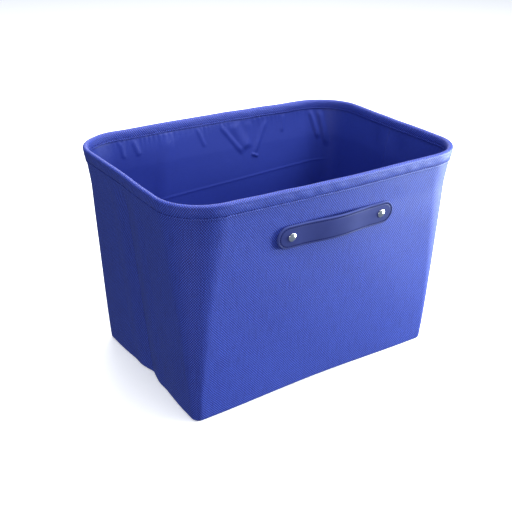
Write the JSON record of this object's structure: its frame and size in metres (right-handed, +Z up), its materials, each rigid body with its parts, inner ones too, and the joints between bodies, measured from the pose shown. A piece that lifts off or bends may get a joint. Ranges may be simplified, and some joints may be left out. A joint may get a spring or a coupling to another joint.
{
  "type": "fabric storage bin",
  "caption": "Tapered rectangular fabric storage bin, stiffened with card, wire-rimmed, with riveted leather strap handles and a lift-out base insert.",
  "frame": {"origin": "middle of the underside, on the surface the bin stands on", "axes": "+Z up, +X along the long side, front strap handle at -Y"},
  "size_m": [0.3788, 0.263, 0.254],
  "materials": {
    "outer_fabric": "coarse plain weave, matt, slubby mid-blue yarns",
    "binding_fabric": "same coarse plain weave, rolled over the rim and sewn through",
    "lining_fabric": "smooth fine lining cloth, slight sheen, loose and puckered",
    "insert_fabric": "smooth fine lining cloth, pulled tight over a board",
    "stiffener_board": "grey-brown pressed card, unfinished",
    "wire_steel": "drawn spring steel wire, plain",
    "strap_leather": "smooth slate-blue leather, fine grain, satin",
    "strap_backing_leather": "slate-blue leather, suede side to the wall",
    "rivet_metal": "bright nickel plate, polished"
  },
  "bodies": {
    "bin": {"back_board": "stiffener_board", "back_strap_backing": "strap_backing_leather", "back_strap_face": "strap_leather", "front_board": "stiffener_board", "front_strap_backing": "strap_backing_leather", "front_strap_face": "strap_leather", "left_back_board": "stiffener_board", "left_front_board": "stiffener_board", "lining_back_panel": "lining_fabric", "lining_base_panel": "lining_fabric", "lining_front_panel": "lining_fabric", "outer_back_panel": "outer_fabric", "outer_base_panel": "outer_fabric", "outer_front_panel": "outer_fabric", "right_back_board": "stiffener_board", "right_front_board": "stiffener_board", "rim_binding": "binding_fabric", "rim_ferrule": "wire_steel", "rim_wire": "wire_steel", "rivet_caps": "rivet_metal", "rivet_pins": "rivet_metal", "rivet_washers": "rivet_metal"},
    "base_insert": {"insert_board": "stiffener_board", "insert_cover": "insert_fabric"}
  },
  "joints": [
    {"name": "base_insert_lift", "type": "slide", "parent": "bin", "child": "base_insert", "axis": [0, 0, 1], "range_m": [0, 0.28]}
  ]
}
